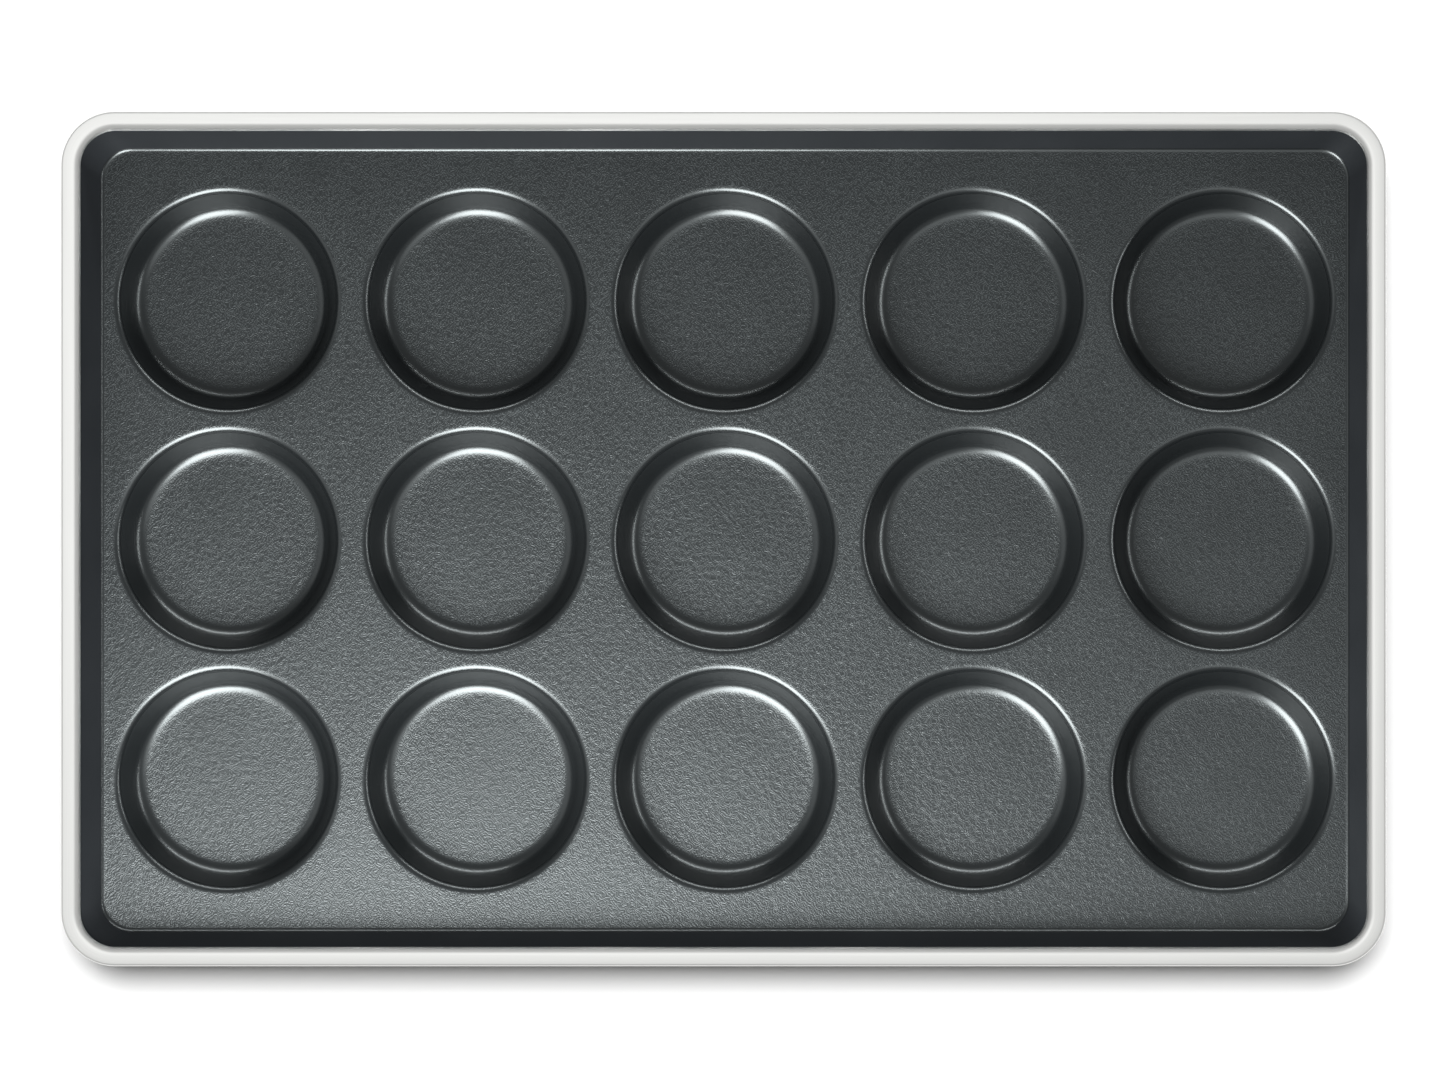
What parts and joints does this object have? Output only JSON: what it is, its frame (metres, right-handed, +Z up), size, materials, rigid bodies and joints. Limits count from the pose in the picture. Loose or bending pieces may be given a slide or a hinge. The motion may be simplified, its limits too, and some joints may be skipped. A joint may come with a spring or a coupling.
{
  "type": "hamburger bun pan",
  "caption": "Shallow rectangular baking pan with rows of round flat-bottomed bun wells, a dark nonstick inside, sloped walls and a rolled, wired rim of bare metal.",
  "frame": {"origin": "on the resting plane under the middle of the pan, where the cup floors stand", "axes": "+X along the pan's length, +Y towards the first row of wells, +Z up out of the wells"},
  "size_m": [0.6, 0.387, 0.0388],
  "materials": {
    "nonstick_coating": "dark charcoal nonstick coating on steel sheet, finely wrinkled on flat areas, smooth on the walls",
    "bare_rim": "bare aluminised steel, satin, faint lengthwise brush lines",
    "rim_wire": "plain drawn steel wire"
  },
  "bodies": {
    "root": {"tray_deck": "nonstick_coating", "bun_cup_r1_c1": "nonstick_coating", "bun_cup_r1_c2": "nonstick_coating", "bun_cup_r1_c3": "nonstick_coating", "bun_cup_r1_c4": "nonstick_coating", "bun_cup_r1_c5": "nonstick_coating", "bun_cup_r2_c1": "nonstick_coating", "bun_cup_r2_c2": "nonstick_coating", "bun_cup_r2_c3": "nonstick_coating", "bun_cup_r2_c4": "nonstick_coating", "bun_cup_r2_c5": "nonstick_coating", "bun_cup_r3_c1": "nonstick_coating", "bun_cup_r3_c2": "nonstick_coating", "bun_cup_r3_c3": "nonstick_coating", "bun_cup_r3_c4": "nonstick_coating", "bun_cup_r3_c5": "nonstick_coating", "rim_band": "bare_rim", "rim_wire": "rim_wire"}
  },
  "joints": []
}
